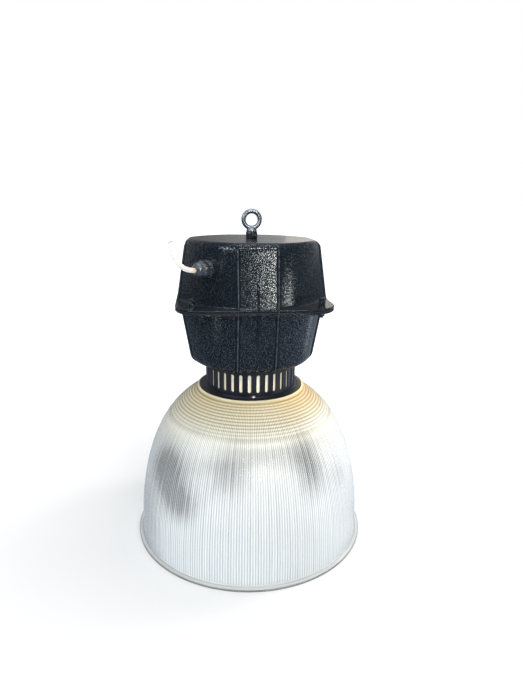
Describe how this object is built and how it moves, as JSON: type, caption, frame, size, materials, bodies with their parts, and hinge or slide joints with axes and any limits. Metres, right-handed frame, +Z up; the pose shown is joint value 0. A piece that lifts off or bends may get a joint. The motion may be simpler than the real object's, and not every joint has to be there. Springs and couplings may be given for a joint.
{
  "type": "grow lamp",
  "caption": "Industrial high-bay grow lamp: black cast housing with control gear, slotted collar, cable gland, lifting eye and prismatic acrylic shade.",
  "frame": {"origin": "middle of the shade's rim, on the surface that the rim stands on", "axes": "+Z up along the lamp's axis, -Y the front of the housing, +X to the right; the gland is on the front left chamfer"},
  "size_m": [0.4099, 0.41, 0.569],
  "materials": {
    "shade": "clear prismatic acrylic, fluted, yellowed near the neck",
    "collar": "black satin powder coat",
    "casting": "blue-black hammered powder coat over cast aluminium",
    "gasket": "matt closed-cell rubber",
    "fastener": "zinc plated",
    "fastener_black": "blackened steel",
    "eye": "forged, dark zinc",
    "gland": "black polyamide",
    "seal": "matt",
    "cable": "white flexible sheath",
    "tray": "galvanised sheet",
    "laminations": "varnished laminated steel",
    "winding": "varnished tape over copper",
    "can": "drawn can",
    "insulator": "moulded",
    "porcelain": "white glaze",
    "brass": "nickel-free brass",
    "lead_brown": "brown insulation",
    "lead_blue": "blue insulation",
    "lead_green": "green insulation",
    "lead_white": "white heat-proof insulation",
    "lamp_metal": "plated lamp cap",
    "lamp_glass": "clear hard glass",
    "arc_tube": "translucent sintered alumina",
    "spring_steel": "bright"
  },
  "bodies": {
    "fixture": {"ballast_clamp": "tray", "ballast_core": "laminations", "ballast_screws": "fastener", "ballast_winding": "winding", "capacitor_can": "can", "capacitor_lead": "lead_white", "capacitor_nut": "fastener", "capacitor_terminals": "insulator", "collar_screws": "fastener", "contact_spring": "spring_steel", "earth_bond_lead": "lead_green", "earth_lead": "lead_green", "earth_screw": "fastener", "eye_bolt": "eye", "eye_inner_nut": "fastener", "eye_lock_nut": "fastener_black", "eye_washer": "fastener", "gear_tray": "tray", "gland_body": "gland", "gland_locknut": "gland", "gland_seal": "seal", "holder_live_lead": "lead_brown", "holder_neutral_lead": "lead_blue", "housing_gasket": "gasket", "housing_nuts": "fastener", "housing_screws": "fastener_black", "ignitor_can": "can", "ignitor_lead": "lead_white", "ignitor_nut": "fastener", "ignitor_terminals": "insulator", "lampholder_body": "porcelain", "lampholder_bracket": "tray", "lampholder_screws": "fastener", "lampholder_shell": "brass", "live_lead": "lead_brown", "lower_housing": "casting", "mains_cable": "cable", "mains_cable_held": "cable", "neutral_lead": "lead_blue", "prismatic_shade": "shade", "shade_clamp_nuts": "fastener", "shade_clamp_ring": "collar", "shade_clamp_screws": "fastener", "terminal_block": "insulator", "terminal_screws": "brass", "tray_screws": "fastener", "upper_housing": "casting", "vented_collar": "collar", "winding_lead": "lead_white"},
    "gland_nut": {"gland_cap": "gland"},
    "lamp": {"lamp_cap": "lamp_metal", "lamp_cap_insulator": "porcelain", "lamp_eyelet": "brass", "lamp_glass": "lamp_glass", "arc_tube": "arc_tube", "lamp_frame": "spring_steel", "lamp_lead_in": "spring_steel"},
    "contact": {"centre_contact": "brass"}
  },
  "joints": [
    {"name": "gland_nut_turn", "type": "hinge", "parent": "fixture", "child": "gland_nut", "pos_m": [-0.07389, -0.08521, 0.483], "axis": [-0.7071, -0.7071, 0], "continuous": true},
    {"name": "lamp_turn", "type": "hinge", "parent": "fixture", "child": "lamp", "pos_m": [0, 0, 0.36], "axis": [0, 0, 1], "continuous": true},
    {"name": "contact_press", "type": "slide", "parent": "fixture", "child": "contact", "axis": [0, 0, 1], "range_m": [0, 0.0015], "stiffness_N_per_m": 400, "springref_m": -0.003, "deforming": ["contact_spring"]}
  ]
}
